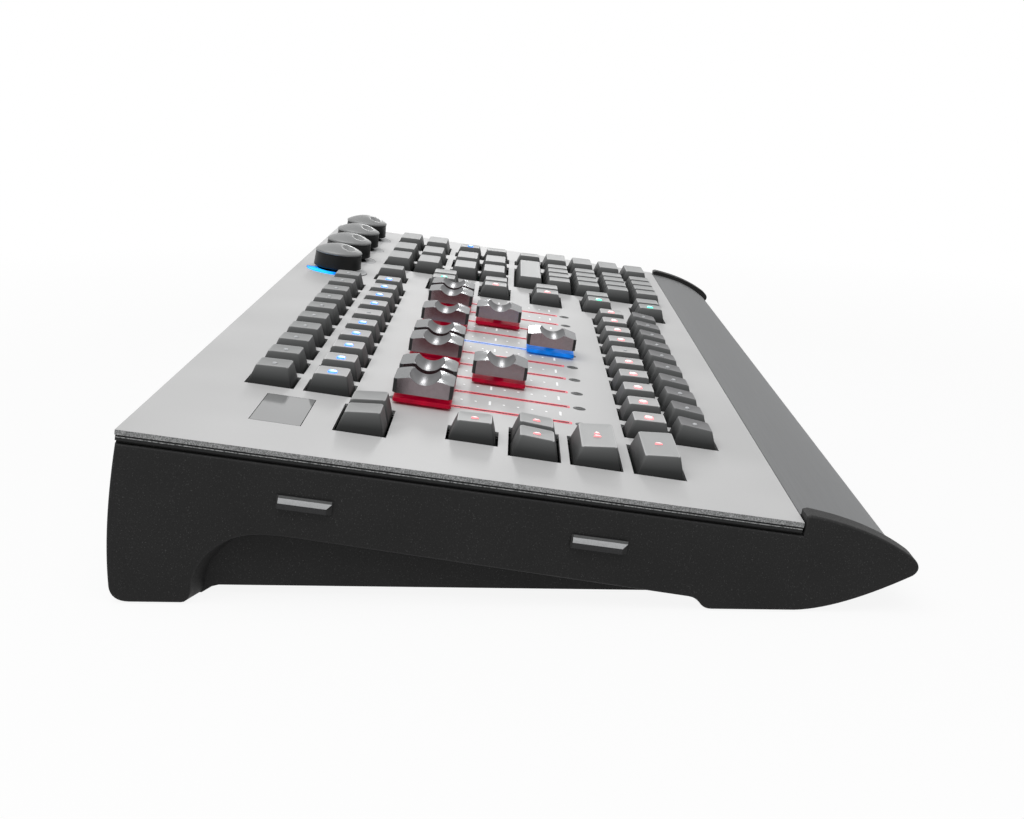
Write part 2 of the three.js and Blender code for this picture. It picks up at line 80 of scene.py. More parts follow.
CHEEK_T = 9.3
WEB_T = 2.7  # sheet that closes a cheek's arch from inside
CHEEK_TOP = -4.2  # n of a cheek's inner part
CHEEK_RIM = -4.9  # n of its outer skin, under a shadow gap
SOLE_Z = 0.4  # height of a cheek's feet over the ground
BELLY_Z = 3.9  # height of the desk's underside

# ---- the face's own frame ----
JOINTS = {joint["name"]: joint for joint in frame["joints"]}
TOWARDS_FRONT = Vector(JOINTS["fader_cap_01_slide"]["axis"])
OUT_OF_FACE = Vector(JOINTS["encoder_knob_1_turn"]["axis"])
PLATE_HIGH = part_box("face_plate")[1]
BACK_Y = PLATE_HIGH.y / MM + PLATE_T * OUT_OF_FACE.y
BACK_Z = PLATE_HIGH.z / MM


def face_matrix():
    """From (x, -s, n) in millimetres on the face to metres in the desk's frame."""
    turn = Matrix((Vector((1, 0, 0)), -TOWARDS_FRONT, OUT_OF_FACE)).transposed().to_4x4()
    return Matrix.Translation(Vector((0, BACK_Y, BACK_Z)) * MM) @ turn @ Matrix.Scale(MM, 4)


FACE = face_matrix()
UPRIGHT = Matrix.Scale(MM, 4)
MERGE_WITHIN = 0.001  # millimetres between two points that are one


def span(node):
    """Lowest and highest corner of a CAD node, in millimetres."""
    low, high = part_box(node)
    return low / MM, high / MM


def distance_down(node, n):
    """s of a node's middle, for a node whose ends are at height n over the face."""
    low, high = span(node)
    return ((low.y + high.y) / 2 - BACK_Y - n * OUT_OF_FACE.y) / TOWARDS_FRONT.y


def on_side(s, n):
    """Side-view point (d, z) of a place on the face."""
    return Vector((-s * TOWARDS_FRONT.y - n * OUT_OF_FACE.y,
                   BACK_Z + s * TOWARDS_FRONT.z + n * OUT_OF_FACE.z))


# ---- node trees ----
def linear(code):
    """A hex sRGB colour as linear values."""
    parts = [int(code[i:i + 2], 16) / 255 for i in (1, 3, 5)]
    return [c / 12.92 if c <= 0.04045 else ((c + 0.055) / 1.055) ** 2.4 for c in parts] + [1.0]


def feed(tree, node, inputs):
    """Fills a node's inputs. A socket is linked, a node is linked by its first live output, and
    any other value is set."""
    for name, value in inputs.items():
        if isinstance(value, bpy.types.Node):
            value = next(socket for socket in value.outputs if socket.enabled)
        if isinstance(value, bpy.types.NodeSocket):
            tree.links.new(value, node.inputs[name])
        else:
            node.inputs[name].default_value = value


def add(tree, kind, settings=None, inputs=None, stops=()):
    """Adds a node with its settings and links. stops are a colour ramp's (place, hex colour)."""
    made = tree.nodes.new(kind)
    for name, value in (settings or {}).items():
        setattr(made, name, value)
    elements = made.color_ramp.elements if stops else []
    while len(elements) < len(stops):
        elements.new(0.5)
    for element, (at, code) in zip(elements, stops):
        element.position = at
        element.color = linear(code)
    feed(tree, made, inputs or {})
    return made


def spread(*codes):
    """Colour stops spaced evenly over 0.3 to 0.7, where most of a noise's values lie."""
    return [(0.3 + 0.4 * i / (len(codes) - 1), code) for i, code in enumerate(codes)]


def new_finish(name, **shader):
    """A material with its tree, its shader and the coordinates that its patterns read."""
    material = bpy.data.materials.new(name)
    material.use_nodes = True
    tree = material.node_tree
    bsdf = tree.nodes["Principled BSDF"]
    feed(tree, bsdf, {key.replace("_", " "): value for key, value in shader.items()})
    place = add(tree, "ShaderNodeTexCoord").outputs["Object"]
    return material, tree, bsdf, place


def lay_grain(tree, bsdf, place, size_mm, tones=(), rough=(), relief=(), detail=2):
    """Lays one noise over a surface, with blotches of size_mm. Its colour follows the stops in
    tones, its roughness runs between the two values of rough, and its bumps have the depth in
    millimetres and the strength of relief."""
    pattern = add(tree, "ShaderNodeTexNoise", inputs={
        "Vector": place, "Scale": 1 / (size_mm * MM), "Detail": detail})
    if tones:
        colour = add(tree, "ShaderNodeValToRGB", inputs={"Fac": pattern}, stops=tones)
        feed(tree, bsdf, {"Base Color": colour})
    if rough:
        gloss = add(tree, "ShaderNodeMapRange", inputs={
            "Value": pattern, "To Min": rough[0], "To Max": rough[1]})
        feed(tree, bsdf, {"Roughness": gloss})
    if relief:
        bumps = add(tree, "ShaderNodeBump", inputs={
            "Height": pattern, "Distance": relief[0] * MM, "Strength": relief[1]})
        feed(tree, bsdf, {"Normal": bumps})
    return pattern


# ---- finishes ----
def skin(name, size_mm, tones, rough=(), relief=(), detail=2, **shader):
    """A finish that is one even grain and nothing more."""
    material, tree, bsdf, place = new_finish(name, **shader)
    lay_grain(tree, bsdf, place, size_mm, tones, rough, relief, detail)
    return material


def blasted_aluminium():
    """Bead-blasted anodised aluminium: an even silver grey with a fine tooth. Sawn ends show a
    coarse dark and light speckle."""
    material, tree, bsdf, place = new_finish("bead_blasted_aluminium", Metallic=0.25, IOR=1.5)
    lay_grain(tree, bsdf, place, 0.5, rough=(0.5, 0.64), relief=(0.02, 0.5))
    cloud = add(tree, "ShaderNodeTexNoise", inputs={"Vector": place, "Scale": 1 / (60 * MM), "Detail": 1})
    face = add(tree, "ShaderNodeValToRGB", inputs={"Fac": cloud}, stops=spread("#b0b0b0", "#b8b8b8"))
    sawn = add(tree, "ShaderNodeTexNoise", inputs={
        "Vector": place, "Scale": 1 / (0.55 * MM), "Roughness": 0.8})
    speck = add(tree, "ShaderNodeValToRGB", inputs={"Fac": sawn},
                stops=spread("#4a4b4b", "#828383", "#b4b5b5"))
    normal = add(tree, "ShaderNodeSeparateXYZ", inputs={
        "Vector": add(tree, "ShaderNodeNewGeometry").outputs["True Normal"]})
    sideways = add(tree, "ShaderNodeMath", {"operation": "ABSOLUTE"}, {0: normal.outputs["X"]})
    is_end = add(tree, "ShaderNodeMath", {"operation": "GREATER_THAN"}, {0: sideways, 1: 0.8})
    colour = add(tree, "ShaderNodeMix", {"data_type": "RGBA"}, {"Factor": is_end, 6: face, 7: speck})
    feed(tree, bsdf, {"Base Color": colour})
    return material


def anodised_extrusion():
    """Satin anodised aluminium extrusion: darker than the face, with faint lines along its run."""
    material, tree, bsdf, place = new_finish(
        "satin_anodised_extrusion", Metallic=0.1, IOR=1.5, Specular_IOR_Level=0.15)
    along = add(tree, "ShaderNodeMapping", inputs={"Vector": place, "Scale": (0.02, 1, 1)})
    lay_grain(tree, bsdf, along, 0.7, spread("#6c6d6e", "#747576"), (0.46, 0.56), (0.01, 0.4))
    return material


def sandy_abs():
    """Black ABS moulded against a spark-eroded tool: a sandy tooth with sparse pale glints.
    The grit is drawn about twice as coarse as the real one so that it shows."""
    material, tree, bsdf, place = new_finish("spark_eroded_black_abs", IOR=1.5, Specular_IOR_Level=0.25)
    grit = add(tree, "ShaderNodeTexNoise", inputs={
        "Vector": place, "Scale": 1 / (0.8 * MM), "Detail": 3, "Roughness": 0.7})
    gloss = add(tree, "ShaderNodeMapRange", inputs={"Value": grit, "To Min": 0.5, "To Max": 0.72})
    tooth = add(tree, "ShaderNodeBump", inputs={"Height": grit, "Distance": 0.12 * MM, "Strength": 0.6})
    sparse = add(tree, "ShaderNodeTexNoise", inputs={
        "Vector": place, "Scale": 1 / (0.55 * MM), "Roughness": 0.9})
    glint = add(tree, "ShaderNodeValToRGB", inputs={"Fac": sparse},
                stops=[(0.0, "#121212"), (0.60, "#181818"), (0.76, "#4c4c4c")])
    patch = add(tree, "ShaderNodeTexNoise", inputs={"Vector": place, "Scale": 1 / (26 * MM)})
    cloudy = add(tree, "ShaderNodeValToRGB", inputs={"Fac": patch}, stops=spread("#d8d8d8", "#ffffff"))
    colour = add(tree, "ShaderNodeMix", {"data_type": "RGBA", "blend_type": "MULTIPLY"}, {
        "Factor": 1.0, 6: glint, 7: cloudy})
    feed(tree, bsdf, {"Base Color": colour, "Roughness": gloss, "Normal": tooth})
    return material


def powder_coat(name, highlight_at=None):
    """Matt black powder coat over sheet steel, with a fine orange peel. Given a height, it has a thin
    bright line there: a painted highlight along the sheet's edge, a little under its upper edge."""
    material, tree, bsdf, place = new_finish(name, IOR=1.5, Specular_IOR_Level=0.25)
    peel = lay_grain(tree, bsdf, place, 1.2, rough=(0.5, 0.64), relief=(0.05, 0.4))
    coat = add(tree, "ShaderNodeValToRGB", inputs={"Fac": peel}, stops=spread("#131414", "#1d1e1e"))
    if highlight_at is not None:
        # Painted highlight: a thin pale grey line at the given height.
        from_face = add(tree, "ShaderNodeVectorMath", {"operation": "SUBTRACT"}, {
            0: place, 1: Vector((0, BACK_Y, BACK_Z)) * MM})
        height = add(tree, "ShaderNodeVectorMath", {"operation": "DOT_PRODUCT"}, {
            0: from_face, 1: OUT_OF_FACE})
        is_highlight = add(tree, "ShaderNodeMath", {"operation": "COMPARE"}, {
            0: height, 1: highlight_at * MM, 2: HIGHLIGHT_LINE * MM})
        highlight_grain = add(tree, "ShaderNodeTexNoise", inputs={"Vector": place, "Scale": 1 / (0.8 * MM)})
        highlight_tone = add(tree, "ShaderNodeValToRGB", inputs={"Fac": highlight_grain},
                    stops=[(0.35, "#4d4e4e"), (0.6, "#a5a6a6")])
        coat = add(tree, "ShaderNodeMix", {"data_type": "RGBA"}, {"Factor": is_highlight, 6: coat, 7: highlight_tone})
    feed(tree, bsdf, {"Base Color": coat})
    return material


def key_plastic_painted_shade(name, top, rim):
    """Matt moulded key cap with painted light: charcoal walls with painted shade that deepens towards the
    base, a lighter top painted as lit from above, and a pale rim that is a painted highlight along its top
    edge."""
    material, tree, bsdf, place = new_finish(name, IOR=1.5, Specular_IOR_Level=0.2)
    lay_grain(tree, bsdf, place, 0.35, rough=(0.44, 0.56), relief=(0.02, 0.5))
    rise = add(tree, "ShaderNodeAttribute", {"attribute_name": "rise"}).outputs["Fac"]
    # Painted shade up the walls, darkest at the base, then the painted highlight of the rim, then the top
    # painted as lit from above.
    walls = [(0.0, "#0d0d0d"), (0.25, "#242525"), (0.72, "#5a5b5b")]
    colour = add(tree, "ShaderNodeValToRGB", inputs={"Fac": rise},
                 stops=walls + [(RIM_HIGHLIGHT_RISE, rim), (1.0, top)])
    feed(tree, bsdf, {"Base Color": colour})
    return material


def uneven_rise(tree, place, size_mm, share, detail=2):
    """The rise stored on a mesh's points, made uneven by a share of a noise."""
    rise = add(tree, "ShaderNodeAttribute", {"attribute_name": "rise"}).outputs["Fac"]
    noise = add(tree, "ShaderNodeTexNoise", inputs={
        "Vector": place, "Scale": 1 / (size_mm * MM), "Detail": detail})
    return add(tree, "ShaderNodeMath", {"operation": "MULTIPLY_ADD"}, {0: noise, 1: share, 2: rise})


def lit_lens(name, rim, core, strength):
    """Small light pipe, pale in the middle and saturated at its rim."""
    material, tree, bsdf, place = new_finish(name, Roughness=0.3, IOR=1.5)
    level = uneven_rise(tree, place, 0.6, 0.3)
    colour = add(tree, "ShaderNodeValToRGB", inputs={"Fac": level}, stops=[(0.2, rim), (1.0, core)])
    feed(tree, bsdf, {"Base Color": colour, "Emission Color": colour, "Emission Strength": strength})
    return material


def arc_lit_ring():
    """Frosted acrylic ring lit from behind over part of its turn: bright blue, then navy, then the milky
    grey of the unlit part. The glow is partly its own light and partly painted light: the blue light
    spilling onto the face beside the knob."""
    material, tree, bsdf, place = new_finish(
        "arc_lit_acrylic_ring", Roughness=0.6, IOR=1.49, Specular_IOR_Level=0.2)
    level = uneven_rise(tree, place, 2.5, 0.2, detail=1)
    blues = [(0.28, "#0c3a80"), (0.45, "#0c8cf0"), (0.7, "#20a8ff")]
    colour = add(tree, "ShaderNodeValToRGB", inputs={"Fac": level}, stops=[(0.2, "#b4b5b6")] + blues)
    glow = add(tree, "ShaderNodeValToRGB", inputs={"Fac": level}, stops=[(0.2, "#000000")] + blues)
    feed(tree, bsdf, {"Base Color": colour, "Emission Color": glow, "Emission Strength": 1.1})
    return material


def edge_lit(name, bright, deep, body, strength):
    """Edge-lit acrylic: a saturated glow, a little uneven along its length, in a darker body."""
    material, tree, bsdf, place = new_finish(name, Roughness=0.35, IOR=1.49, Specular_IOR_Level=0.15)
    uneven = lay_grain(tree, bsdf, place, 6, spread(body, deep), detail=1)
    glow = add(tree, "ShaderNodeValToRGB", inputs={"Fac": uneven}, stops=spread(deep, bright))
    feed(tree, bsdf, {"Emission Color": glow, "Emission Strength": strength})
    return material


def milky_acrylic(name, low, high):
    """Light pipe or light ring with no lamp on behind it: milky acrylic, dull and even."""
    return skin(name, 0.7, spread(low, high), Roughness=0.6, IOR=1.49, Specular_IOR_Level=0.2)


def smoked_chrome(name, low, high, rough, edge):
    """Dark metallised plastic: mirror-like, with faint polishing marks and a smoky glancing tint."""
    return skin(name, 1.6, spread(low, high), (rough, rough + 0.06), detail=3, Metallic=1.0,
                Specular_Tint=linear(edge))


def fine_tooth(name, low, high, rough, specular=0.5):
    """Satin or matt plastic, rubber or blackened steel, with a fine even tooth."""
    return skin(name, 0.5, spread(low, high), (rough, rough + 0.1), (0.02, 0.4), IOR=1.5,
                Specular_IOR_Level=specular)


FACE_METAL = blasted_aluminium()
REST_METAL = anodised_extrusion()
CHEEK_ABS = sandy_abs()
BLACK_SHEET = powder_coat("matt_black_powder_coat")
# The sheet under the face, with a painted highlight line along its edge.
HIGHLIGHTED_SHEET = powder_coat("powder_coated_sheet_painted_highlight", FRAME_TOP - HIGHLIGHT_UNDER)
# Gloss lacquer over the same grey as the face: it mirrors the keys behind it.
SHINY_INSERT = skin("gloss_lacquered_insert", 30, spread("#7e7f7f", "#858686"), (0.07, 0.10), detail=1,
                    IOR=1.5)
# Green solder mask on a circuit board, with faint tracks.
BOARD_MASK = skin("green_solder_mask", 4, [(0.45, "#12352a"), (0.55, "#1d4a39")], detail=3,
                  Roughness=0.4, IOR=1.5)
# Zinc-plated steel of the fader and encoder bodies, with a dull spangle.
RACK_STEEL = skin("zinc_plated_steel", 3, spread("#7d8083", "#8c8f92"), (0.3, 0.45), Metallic=0.9)
# Screen-printed white marks, slightly uneven.
PRINT = skin("white_screen_print", 0.5, spread("#e6e7e8", "#ffffff"), Roughness=0.6, IOR=1.5)
# Soft-touch top of a knob: light grey, with a satin sheen that models the dimple.
KNOB_TOP = skin("satin_grey_knob_top", 0.4, spread("#818282", "#8b8c8c"), (0.36, 0.44), Metallic=0.2,
                IOR=1.5, Specular_IOR_Level=0.3)
KNOB_BLACK = fine_tooth("satin_black_knob", "#0d0e0e", "#161717", 0.38, 0.25)
BAR_PLASTIC = fine_tooth("satin_black_bar", "#1c1c1d", "#262627", 0.3, 0.3)
# Painted light on a side bar: the dark grey of its top strip and the pale grey highlight of its bevel.
BAR_STRIP_PAINTED_LIGHT = fine_tooth("satin_dark_grey_strip_painted_light", "#474848", "#505151", 0.3, 0.3)
BAR_BEVEL_HIGHLIGHT = fine_tooth("satin_grey_bevel_painted_highlight", "#a0a1a2", "#adaeaf", 0.25)
SCREW_STEEL = fine_tooth("black_oxide_screw", "#414242", "#505151", 0.5, 0.2)
PAD_RUBBER = fine_tooth("black_foot_rubber", "#0e0e0e", "#181818", 0.75)
CAP_BLACK = fine_tooth("black_cap_end", "#0f0f10", "#191919", 0.35)
CAP_SIDE = smoked_chrome("smoked_chrome", "#8f8487", "#998e91", 0.2, "#f4f4f4")
CAP_FACET = smoked_chrome("brushed_smoked_chrome", "#6e7072", "#7a7c7e", 0.14, "#e8e8e8")
CAP_SCOOP = smoked_chrome("polished_smoked_chrome", "#606061", "#6c6c6d", 0.29, "#dcdcdd")
UNLIT = milky_acrylic("unlit_light_pipe", "#a9abad", "#c3c5c7")
UNLIT_RING = milky_acrylic("unlit_light_ring", "#b0b1b2", "#b8b9ba")
BLUE_LENS = lit_lens("blue_light_pipe", "#1f74ff", "#bcd9ff", 1.6)
PINK_LENS = lit_lens("pink_light_pipe", "#f4868a", "#fff0f0", 0.8)
GREEN_LENS = lit_lens("green_light_pipe", "#18e0b0", "#a8ffe6", 1.1)
# RED_GLOW and BLUE_GLOW are painted glow: the slot's light under a fader cap. SLOT_GLOW and PALE_BLUE_GLOW
# are the lit slot rims themselves.
RED_GLOW = edge_lit("red_painted_slot_glow", "#b00028", "#8c0020", "#5c0014", 0.5)
SLOT_GLOW = edge_lit("bright_red_lit_slot_rim", "#dc3c52", "#c42a3e", "#a02436", 0.7)
BLUE_GLOW = edge_lit("blue_painted_slot_glow", "#0a78dc", "#0862bc", "#053a70", 0.8)
PALE_BLUE_GLOW = edge_lit("pale_blue_lit_slot_rim", "#8fb4ff", "#7aa4fb", "#6a90e0", 0.6)
RING_GLOW = arc_lit_ring()
# Each plastic as (tone, its top, its rim); the rim's paler grey is a painted highlight.
KEY_TOPS = {tone: key_plastic_painted_shade("matt_key_plastic_" + tone, top, rim) for tone, top, rim in (
    ("dark", "#6a6a6b", "#7d7d7e"), ("middle", "#878888", "#9d9e9e"),
    ("pale", "#999a9a", "#b4b5b5"), ("light", "#a9a9a9", "#c6c6c6"))}


# ---- meshes ----
def shell(name, rings, loop=False):
    """A closed skin over rings of points. loop joins the last ring to the first, else both
    ends are closed with a face."""
    size = len(rings[0])
    points = [p for ring in rings for p in ring]
    faces = []
    for a in range(len(rings) if loop else len(rings) - 1):
        b = (a + 1) % len(rings)
        for i in range(size):
            j = (i + 1) % size
            faces.append((a * size + i, a * size + j, b * size + j, b * size + i))
    if not loop:
        faces.append(tuple(reversed(range(size))))
        faces.append(tuple(range((len(rings) - 1) * size, len(rings) * size)))
    mesh = bpy.data.meshes.new(name)
    mesh.from_pydata(points, [], faces)
    put_right(mesh)
    return mesh


def put_right(mesh):
    """Merges doubled points and turns the faces outwards."""
    work = bmesh.new()
    work.from_mesh(mesh)
    bmesh.ops.remove_doubles(work, verts=work.verts, dist=MERGE_WITHIN)
    bmesh.ops.recalc_face_normals(work, faces=work.faces)
    work.to_mesh(mesh)
    work.free()


def placed(name, data):
    """A new object of the scene."""
    thing = bpy.data.objects.new(name, data)
    bpy.context.scene.collection.objects.link(thing)
    return thing


def piece(name, mesh, body, material, matrix=FACE, sharp=32, replaces=()):
    """Puts a mesh in place as a finished piece that rides on a body."""
    mesh.transform(matrix)
    if not mesh.materials:
        mesh.materials.append(material)
    mesh.shade_smooth()
    mesh.set_sharp_from_angle(angle=math.radians(sharp))
    thing = placed(name, mesh)
    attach(thing, body)
    if replaces:
        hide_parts(*replaces)


def dress(node, material):
    """Gives a CAD node its finish."""
    data = frame["nodes"][node].data
    data.materials.clear()
    data.materials.append(material)


def rounded(half_x, half_y, radius, z, steps=3, centre=(0, 0)):
    """Anticlockwise points of a rounded rectangle."""
    points = []
    for quarter in range(4):
        cx = centre[0] + (half_x - radius) * (1 if quarter in (0, 3) else -1)
        cy = centre[1] + (half_y - radius) * (1 if quarter in (0, 1) else -1)
        for i in range(steps + 1):
            a = math.pi / 2 * (quarter + i / steps)
            points.append(Vector((cx + radius * math.cos(a), cy + radius * math.sin(a), z)))
    return points


def curve(points, steps):
    """Points along a Bezier curve, after its first one."""
    result = []
    for k in range(1, steps + 1):
        level = [Vector(p) for p in points]
        while len(level) > 1:
            level = [a.lerp(b, k / steps) for a, b in zip(level, level[1:])]
        result.append(level[0])
    return result


SHARPEST = 0.5  # cosine at which a corner's mitre stops growing


def inset(outline, amount):
    """A closed flat outline moved inwards by an even amount."""
    area = sum(a.x * b.y - b.x * a.y for a, b in zip(outline, outline[1:] + outline[:1]))
    side = 1 if area > 0 else -1
    moved = []
    for before, here, after in zip(outline[-1:] + outline[:-1], outline, outline[1:] + outline[:1]):
        u = (here - before).normalized()
        v = (after - here).normalized()
        normal = (Vector((-u.y, u.x)) + Vector((-v.y, v.x))).normalized() * side
        mitre = max(normal.dot(Vector((-u.y, u.x)) * side), SHARPEST)
        moved.append(here + normal * (amount / mitre))
    return moved


# ---- repeated pieces ----
def laying_tree():
    """Sets one of a collection's shapes on each point, leans it, and gives it a finish. A point
    carries kind, which shape, and tilt, how far its front edge is lifted and its back edge
    lowered. A shape's own points carry lean, their share of the tilt."""
    tree = bpy.data.node_groups.new("lay_shapes_on_points", "GeometryNodeTree")
    for name, kind in (("Points", "Geometry"), ("Shapes", "Collection"), ("Finish", "Material")):
        tree.interface.new_socket(name, in_out="INPUT", socket_type="NodeSocket" + kind)
    tree.interface.new_socket("Geometry", in_out="OUTPUT", socket_type="NodeSocketGeometry")
    given = add(tree, "NodeGroupInput").outputs
    shapes = add(tree, "GeometryNodeCollectionInfo", inputs={
        "Collection": given["Shapes"], "Separate Children": True, "Reset Children": True})
    kind = add(tree, "GeometryNodeInputNamedAttribute", {"data_type": "INT"}, {"Name": "kind"})
    laid = add(tree, "GeometryNodeInstanceOnPoints", inputs={
        "Points": given["Points"], "Instance": shapes, "Pick Instance": True, "Instance Index": kind})
    real = add(tree, "GeometryNodeRealizeInstances", inputs={"Geometry": laid})
    lean = add(tree, "GeometryNodeInputNamedAttribute", {"data_type": "FLOAT"}, {"Name": "lean"})
    tilt = add(tree, "GeometryNodeInputNamedAttribute", {"data_type": "FLOAT"}, {"Name": "tilt"})
    lift = add(tree, "ShaderNodeMath", {"operation": "MULTIPLY"}, {0: lean, 1: tilt})
    offset = add(tree, "ShaderNodeCombineXYZ", inputs={"Z": lift})
    leant = add(tree, "GeometryNodeSetPosition", inputs={"Geometry": real, "Offset": offset})
    finished = add(tree, "GeometryNodeSetMaterial", inputs={
        "Geometry": leant, "Material": given["Finish"]})
    add(tree, "NodeGroupOutput", inputs={"Geometry": finished})
    return tree


LAYING = laying_tree()


def lay(name, points, shapes, material):
    """A plain mesh of a collection's shapes laid on points of (x, s, n, kind, tilt)."""
    mesh = bpy.data.meshes.new(name + "_points")
    across, down, up, kinds, tilts = zip(*points)
    mesh.from_pydata([(x, -s, n) for x, s, n in zip(across, down, up)], [], [])
    mesh.attributes.new("kind", "INT", "POINT").data.foreach_set("value", kinds)
    mesh.attributes.new("tilt", "FLOAT", "POINT").data.foreach_set("value", tilts)
    seed = placed(name + "_points", mesh)
    modifier = seed.modifiers.new("lay", "NODES")
    modifier.node_group = LAYING
    sockets = {item.name: item.identifier for item in LAYING.interface.items_tree}
    modifier[sockets["Shapes"]] = shapes
    modifier[sockets["Finish"]] = material
    bpy.context.view_layer.update()
    depsgraph = bpy.context.evaluated_depsgraph_get()
    result = bpy.data.meshes.new_from_object(seed.evaluated_get(depsgraph), depsgraph=depsgraph)
    seed.modifiers.remove(modifier)
    bpy.data.objects.remove(seed)
    result.name = name
    return result


def shape_set(name, meshes):
    """A collection of shapes to lay, kept out of the scene."""
    shapes = bpy.data.collections.new(name)
    for i, mesh in enumerate(meshes):
        shapes.objects.link(bpy.data.objects.new(f"{name}_{i}", mesh))
    return shapes


def mark(mesh, **values):
    """Stores numbers on a mesh's points, each worked out from the point's place."""
    for name, rule in values.items():
        layer = mesh.attributes.new(name, "FLOAT", "POINT")
        layer.data.foreach_set("value", [rule(v.co) for v in mesh.vertices])


# ---- keys ----
CAP_UNITS = (1, 1.75, 2, 4)  # widths of cap, in key pitches
# Rings up a cap, as (share of its height, share of its inset, corner radius).
CAP_LEVELS = [(0, 0, 0.5), (0.5, 0.48, 0.8), (0.94, 0.93, 1.1), (0.985, 0.985, 1.2),
              (1, 1.04, 1.2), (1, 1.2, 1.1)]
TOP_SHARES = (0.85, 0.6, 0.3, 0.05)  # and across its top, as shares of the last one


def cap_width(units):
    """Width of a cap at its base."""
    return units * UNIT - KEY_GAP


# Depth and power of the trough in a cap's top: round on a small cap, flat on a long one.
SMALL_TROUGH = (0.6, 2)
LONG_TROUGH = (0.3, 6)


def dish(x, half, units):
    """How far a cap's top dips at x across it."""
    depth, power = LONG_TROUGH if units > 1 else SMALL_TROUGH
    return depth * (1 - min(abs(x) / half, 1) ** power)


def cap_mesh(units):
    """One key cap: sloping walls, a rolled rim and a dished top."""
    half = Vector((cap_width(units) / 2, (UNIT - KEY_GAP) / 2))
    top = half - KEY_INSET
    tall = KEY_TOP - KEY_BASE
    rings = [rounded(half.x - KEY_INSET.x * t, half.y - KEY_INSET.y * t, r, KEY_BASE + tall * h)
             for h, t, r in CAP_LEVELS]
    lip = rings[-1]
    for share in TOP_SHARES:
        rings.append([Vector((p.x * share, p.y * share, p.z)) for p in lip])
    for ring in rings[2:]:  # all but the lower walls follow the trough
        for p in ring:
            p.z -= dish(p.x, top.x, units)
    mesh = shell(f"cap_{units}", rings)
    mark(mesh, rise=lambda p: cap_shading_rise(p, top),
         lean=lambda p: -p.y / half.y * max(p.z - KEY_BASE, 0) / tall)
    return mesh


def cap_shading_rise(p, top):
    """How far up a cap's painted shading a point is: its walls with painted shade, then its rim with a
    painted highlight, then 1 on its top.
    """
    beyond = max(abs(p.x) - top.x, abs(p.y) - top.y)
    if beyond < -0.3:
        return 1
    if beyond < 0.02:
        return RIM_HIGHLIGHT_RISE
    return max(p.z - KEY_BASE, 0) / (KEY_TOP - KEY_BASE) * WALL_SHADE_RISE


# Rings up a light pipe's dome, as (share of its width, height over the cap's top).
LENS_LEVELS = [(1, -0.3), (1, 0.1), (0.9, 0.4), (0.55, 0.65), (0.1, 0.7)]


def lens_mesh(half_x, half_y):
    """A low round-cornered dome, brightest in its middle."""
    radius = min(half_x, half_y) * 0.8
    rings = [rounded(half_x * share, half_y * share, radius * share, n) for share, n in LENS_LEVELS]
    mesh = shell("lens", rings)
    mark(mesh, rise=lambda p: max(1 - math.hypot(p.x / half_x, p.y / half_y), 0), lean=lambda p: 0)
    return mesh


CAPS = shape_set("cap", [cap_mesh(units) for units in CAP_UNITS])
OVAL, BAR, DOT = range(3)  # the kinds of light pipe
LENSES = shape_set("lens", [lens_mesh(2.6, 1.9), lens_mesh(0.6, 1.5), lens_mesh(1.0, 1.0)])

# A keypad line's caps as (start, width) in key pitches, then the width of its last cap, which
# ends at the right edge of the line.
WIDE_PAIR = [(0, 1.75), (2.25, 1.75)]
PAD_LINES = {
    "keys_pad_1": (WIDE_PAIR, 1.75),
    "keys_pad_2": (WIDE_PAIR, 1.75),
    "keys_pad_3": (WIDE_PAIR, 1),
    "keys_pad_4": (WIDE_PAIR, 1),
    "keys_pad_5": ([(0, 4)], 1),
    **{f"keys_pad_{i}": ([(0, 1), (1, 1), (2, 1), (3, 1)], 1.75) for i in (6, 7, 8, 9)},
}
DARK_KEY = 5  # in each lit row, the one key whose light is off
# How far the caps of a node have their front edge lifted and their back edge lowered.
USUAL_TILT = 0.3
TILTS = {
    "keys_row_d": -0.9, "key_left_a1": 0.9, "key_left_a2": 0.9, "key_left_c1": -0.6,
    "key_left_c2": -0.6, "key_left_d": 1.0, "key_left_e": 0.8,
}
# Which plastic the caps of a node have.
USUAL_TOP = "pale"
TOPS = {
    "keys_row_a": "middle", "keys_row_b": "light", "keys_row_c": "light", "keys_row_d": "dark",
    "key_left_a1": "middle", "key_left_a2": "middle",
}


def caps_on(node):
    """(x, units) of each cap of a node, from the node's own width."""
    low, high = span(node)
    width = high.x - low.x
    if node in PAD_LINES:
        group, last = PAD_LINES[node]
        caps = [(low.x + start * UNIT + cap_width(units) / 2, units) for start, units in group]
        return caps + [(high.x - cap_width(last) / 2, last)]
    if node.startswith("keys_"):
        count = 2 if "pair" in node else 10
        first = low.x + cap_width(1) / 2
        pitch = (width - cap_width(1)) / (count - 1)
        return [(first + i * pitch, 1) for i in range(count)]
    return [((low.x + high.x) / 2, 2 if width > 1.5 * UNIT else 1)]


